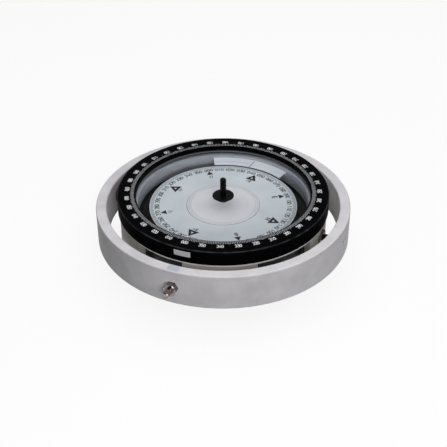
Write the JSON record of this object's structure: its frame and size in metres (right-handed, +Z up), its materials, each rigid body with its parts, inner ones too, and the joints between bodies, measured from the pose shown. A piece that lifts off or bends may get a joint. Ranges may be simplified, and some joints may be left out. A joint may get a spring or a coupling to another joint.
{
  "type": "marine magnetic compass",
  "caption": "Liquid-damped ship's magnetic compass bowl with graduated bezel, floating card and shadow pin, swinging in a gimbal ring with trunnions for a binnacle.",
  "frame": {"origin": "middle of the bowl's flat base, under the card's pivot and the middle of the ring", "axes": "+Z up along the bowl's axis; +Y to the lubber mark (fore), along the trunnions; +X to starboard, along the bowl pivots"},
  "size_m": [0.283, 0.315, 0.104],
  "materials": {
    "white_ring_paint": "satin white enamel on cast aluminium",
    "beige_bowl_paint": "satin beige enamel on cast aluminium",
    "black_bezel_paint": "satin black, engraved and filled white",
    "white_plate_paint": "matte white enamel",
    "black_bridge_paint": "matte black",
    "stainless_steel": "bright turned stainless steel",
    "blackened_brass": "chemically blackened",
    "hard_point": "polished hard alloy",
    "magnet_steel": "ground",
    "painted_brass": "painted grey, not magnetic",
    "brass": "turned",
    "window_glass": "polished flat glass",
    "black_rubber": "matte",
    "pale_rubber": "matte silicone",
    "black_plastic": "satin black moulded plastic",
    "card_face": "pale matte sheet, printed black",
    "float_skin": "matte white lacquer",
    "jewel": "polished"
  },
  "bodies": {
    "ring": {"gimbal_ring": "white_ring_paint", "trunnion_stud_aft": "stainless_steel", "trunnion_stud_fore": "stainless_steel", "trunnion_nuts": "stainless_steel", "bowl_pivot_port": "stainless_steel", "bowl_pivot_starboard": "stainless_steel", "pivot_lock_nuts": "blackened_brass"},
    "bowl": {"bowl_body": "beige_bowl_paint", "pivot_bushes": "stainless_steel", "bezel_ring": "black_bezel_paint", "bezel_screws": "stainless_steel", "top_glass": "window_glass", "glass_gasket_upper": "black_rubber", "glass_gasket_lower": "pale_rubber", "pin_base": "black_plastic", "pin_base_seals": "black_rubber", "pin_base_nut": "black_plastic", "filling_plug": "brass", "plug_washer": "black_rubber", "expansion_diaphragm": "black_bridge_paint", "diaphragm_gasket": "black_rubber", "bottom_cover": "beige_bowl_paint", "bottom_screws": "stainless_steel", "counterweight": "painted_brass", "counterweight_screws": "stainless_steel", "lubber_plate": "white_plate_paint", "lubber_rivets": "stainless_steel", "pivot_bridge": "black_bridge_paint", "bridge_screws": "stainless_steel", "pivot_post": "brass", "pivot_tip": "hard_point", "pivot_nut": "brass"},
    "card": {"card_disc": "card_face", "float_top": "float_skin", "float_bottom": "float_skin", "jewel_cup": "brass", "pivot_jewel": "jewel", "magnets": "magnet_steel", "magnet_carriers": "brass"},
    "shadow_pin": {"shadow_pin": "black_plastic"}
  },
  "joints": [
    {"name": "bowl_pitch", "type": "hinge", "parent": "ring", "child": "bowl", "pos_m": [0, 0, 0.055], "axis": [1, 0, 0], "range_deg": [-40, 40]},
    {"name": "card_spin", "type": "hinge", "parent": "bowl", "child": "card", "pos_m": [0, 0, 0.055], "axis": [0, 0, 1], "continuous": true},
    {"name": "shadow_pin_lift", "type": "slide", "parent": "bowl", "child": "shadow_pin", "axis": [0, 0, 1], "range_m": [0, 0.01]}
  ]
}
